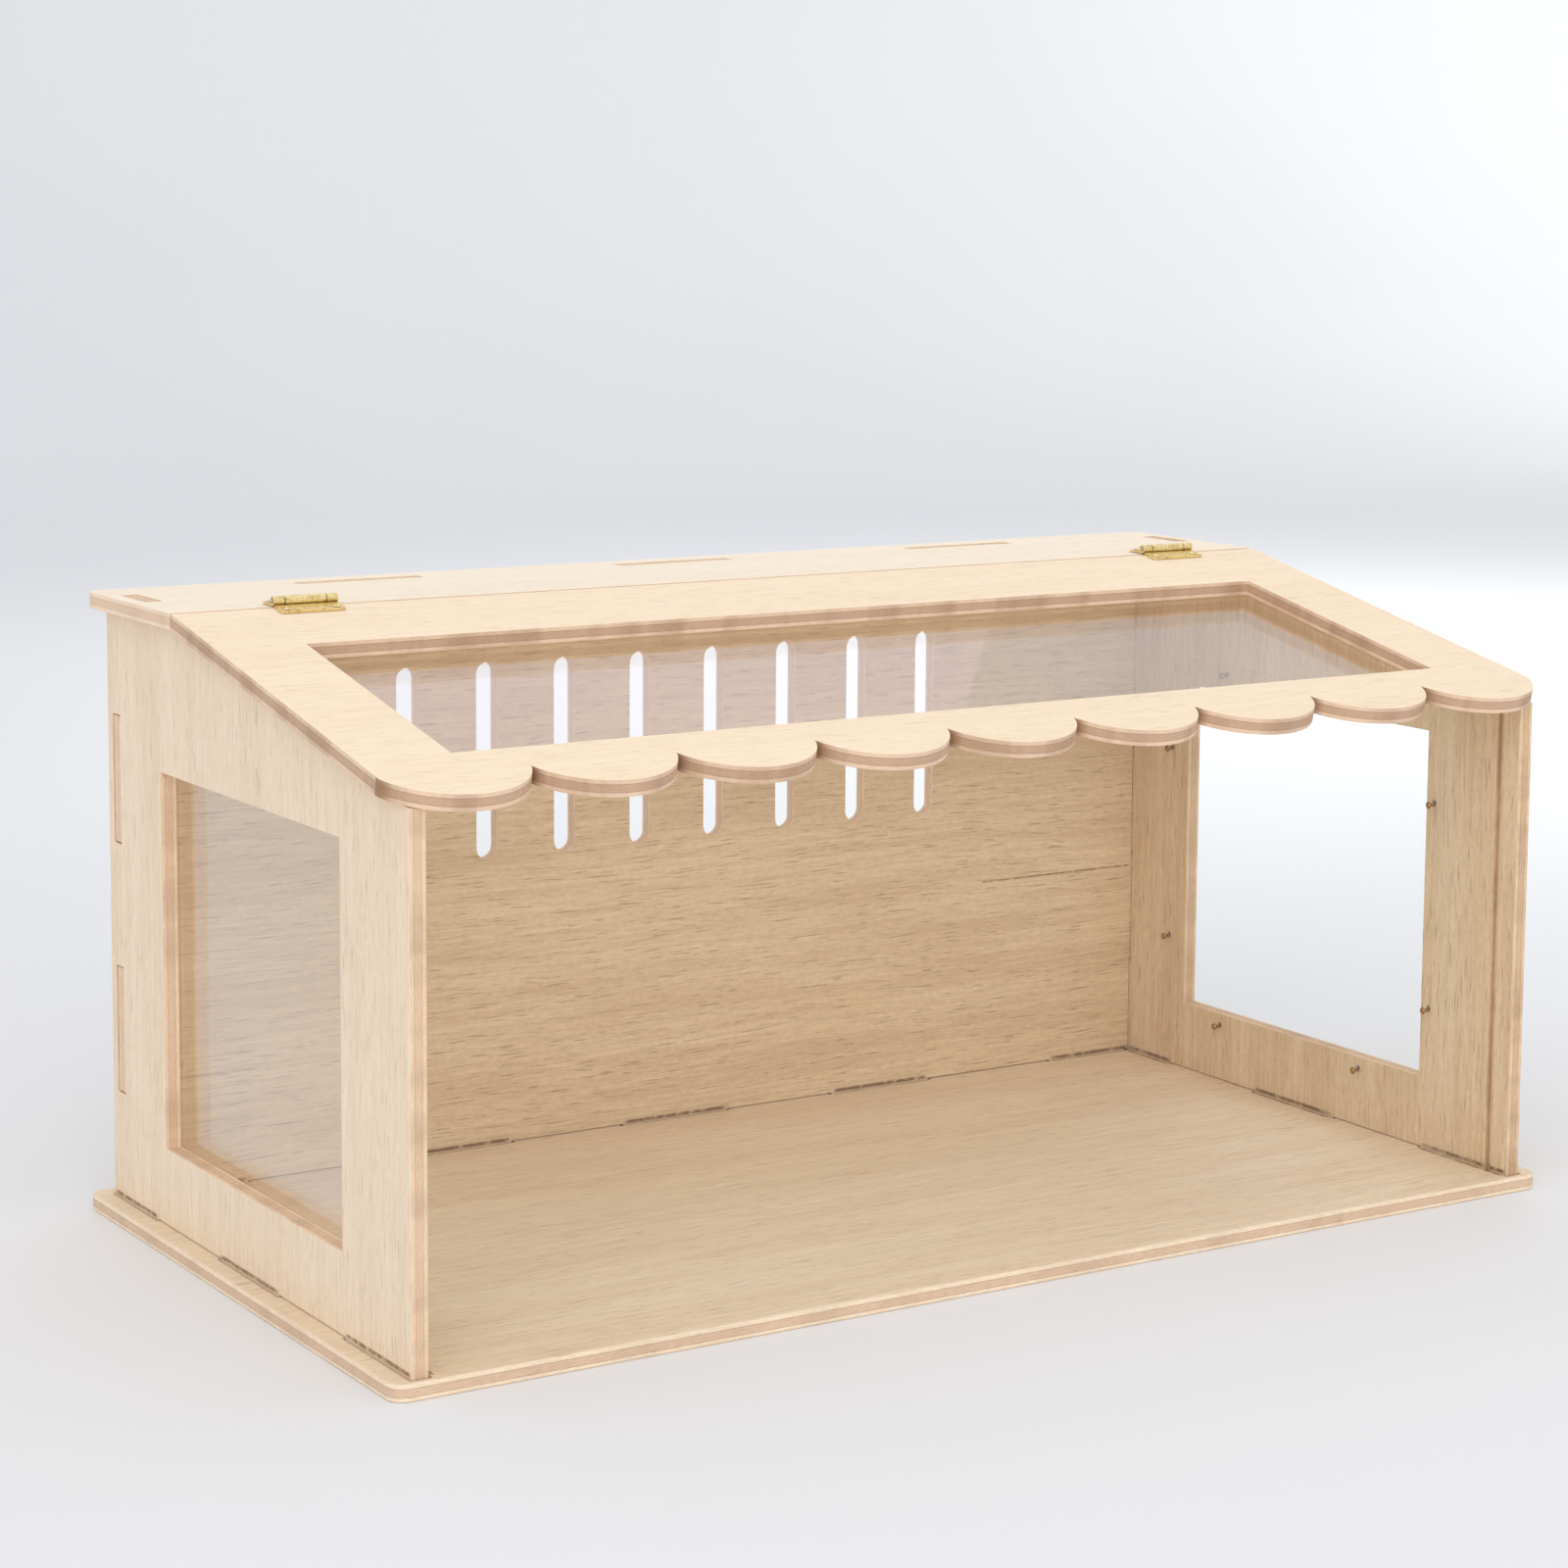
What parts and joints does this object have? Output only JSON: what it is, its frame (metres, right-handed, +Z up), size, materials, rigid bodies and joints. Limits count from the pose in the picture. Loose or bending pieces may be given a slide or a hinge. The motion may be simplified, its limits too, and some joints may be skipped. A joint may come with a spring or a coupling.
{
  "type": "hamster cage",
  "caption": "Slotted plywood hamster cage with clear acrylic front, side and lid windows, a vented back, and a sloping scalloped lid on two butt hinges.",
  "frame": {"origin": "bottom centre of the object's box, on the underside of the base board, on the table", "axes": "+X along the cage's length, -Y out of the clear front, +Z up; the lid hangs on an axis along X at the rear of the slope"},
  "size_m": [0.4, 0.2178, 0.1933],
  "materials": {
    "base_plywood": "satin",
    "side_plywood": "satin",
    "back_plywood": "satin",
    "lid_plywood": "satin",
    "clear_acrylic": "clear polished",
    "hinge_brass": "worn",
    "hinge_pin_steel": "brushed",
    "pane_nails": "aged"
  },
  "bodies": {
    "cage": {"base_board": "base_plywood", "left_side_panel": "side_plywood", "right_side_panel": "side_plywood", "back_panel": "back_plywood", "roof_strip": "lid_plywood", "front_pane": "clear_acrylic", "left_window_pane": "clear_acrylic", "right_window_pane": "clear_acrylic", "left_window_nail_1": "pane_nails", "left_window_nail_2": "pane_nails", "left_window_nail_3": "pane_nails", "left_window_nail_4": "pane_nails", "left_window_nail_5": "pane_nails", "left_window_nail_6": "pane_nails", "left_window_nail_7": "pane_nails", "left_window_nail_8": "pane_nails", "right_window_nail_1": "pane_nails", "right_window_nail_2": "pane_nails", "right_window_nail_3": "pane_nails", "right_window_nail_4": "pane_nails", "right_window_nail_5": "pane_nails", "right_window_nail_6": "pane_nails", "right_window_nail_7": "pane_nails", "right_window_nail_8": "pane_nails", "left_hinge_fixed_leaf": "hinge_brass", "left_hinge_pin": "hinge_pin_steel", "left_hinge_fixed_screw_1": "hinge_brass", "left_hinge_fixed_screw_2": "hinge_brass", "right_hinge_fixed_leaf": "hinge_brass", "right_hinge_pin": "hinge_pin_steel", "right_hinge_fixed_screw_1": "hinge_brass", "right_hinge_fixed_screw_2": "hinge_brass"},
    "lid": {"lid_frame": "lid_plywood", "lid_pane": "clear_acrylic", "left_hinge_moving_leaf": "hinge_brass", "left_hinge_moving_screw_1": "hinge_brass", "left_hinge_moving_screw_2": "hinge_brass", "right_hinge_moving_leaf": "hinge_brass", "right_hinge_moving_screw_1": "hinge_brass", "right_hinge_moving_screw_2": "hinge_brass"}
  },
  "joints": [
    {"name": "lid_hinge", "type": "hinge", "parent": "cage", "child": "lid", "pos_m": [0, 0.04287, 0.1919], "axis": [-1, 0, 0], "range_deg": [0, 194]}
  ]
}
